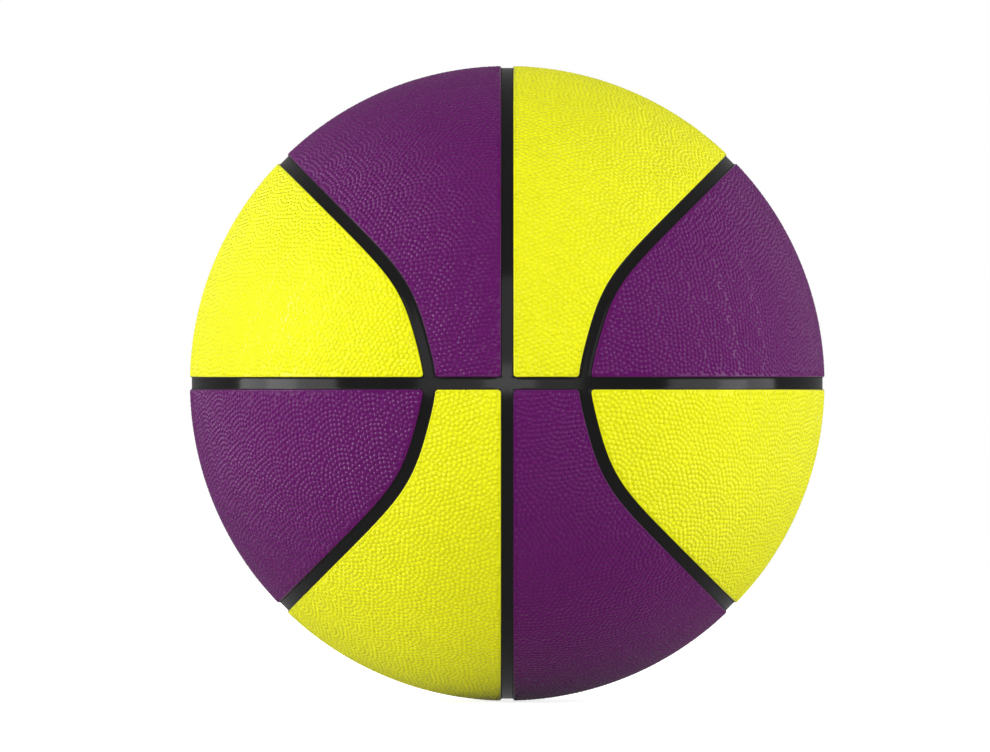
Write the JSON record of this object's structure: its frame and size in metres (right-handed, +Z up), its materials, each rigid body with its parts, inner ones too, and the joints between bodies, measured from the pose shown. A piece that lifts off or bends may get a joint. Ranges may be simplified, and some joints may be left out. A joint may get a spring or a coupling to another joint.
{
  "type": "basketball",
  "caption": "Inflatable basketball with pebbled rubber panels in two colours, recessed smooth black channels, a wound carcass, an air bladder and a replaceable needle valve.",
  "frame": {"origin": "centre of the ball", "axes": "+Z up, as pictured; the crossing of the level and upright channels that the picture faces is on -Y; the closed curved loops lie round -X and +X; the air valve is on the back, near +Y"},
  "size_m": [0.2418, 0.2418, 0.2418],
  "materials": {
    "yellow_panel_rubber": "pebbled satin yellow rubber",
    "purple_panel_rubber": "pebbled satin purple rubber",
    "black_channel_rubber": "smooth semi-gloss black rubber",
    "carcass_rubber": "dull moulded rubber",
    "nylon_thread": "wound nylon thread",
    "butyl_rubber": "smooth butyl rubber",
    "valve_rubber": "moulded black rubber",
    "insert_rubber": "soft black rubber"
  },
  "bodies": {
    "ball": {"centre_panel_upper_right": "yellow_panel_rubber", "centre_panel_lower_left": "yellow_panel_rubber", "side_panel_upper_left": "yellow_panel_rubber", "side_panel_lower_right": "yellow_panel_rubber", "centre_panel_upper_left": "purple_panel_rubber", "centre_panel_lower_right": "purple_panel_rubber", "side_panel_upper_right": "purple_panel_rubber", "side_panel_lower_left": "purple_panel_rubber", "level_channel_strip": "black_channel_rubber", "upper_channel_strip": "black_channel_rubber", "lower_channel_strip": "black_channel_rubber", "curved_channel_strip_upper_left": "black_channel_rubber", "curved_channel_strip_upper_right": "black_channel_rubber", "curved_channel_strip_lower_left": "black_channel_rubber", "curved_channel_strip_lower_right": "black_channel_rubber", "carcass": "carcass_rubber", "thread_winding": "nylon_thread", "bladder": "butyl_rubber", "valve_housing": "valve_rubber"},
    "valve_insert": {"valve_insert": "insert_rubber"}
  },
  "joints": [
    {"name": "valve_insert_pull", "type": "slide", "parent": "ball", "child": "valve_insert", "axis": [0.1277, 0.9659, 0.2252], "range_m": [0, 0.03]}
  ]
}
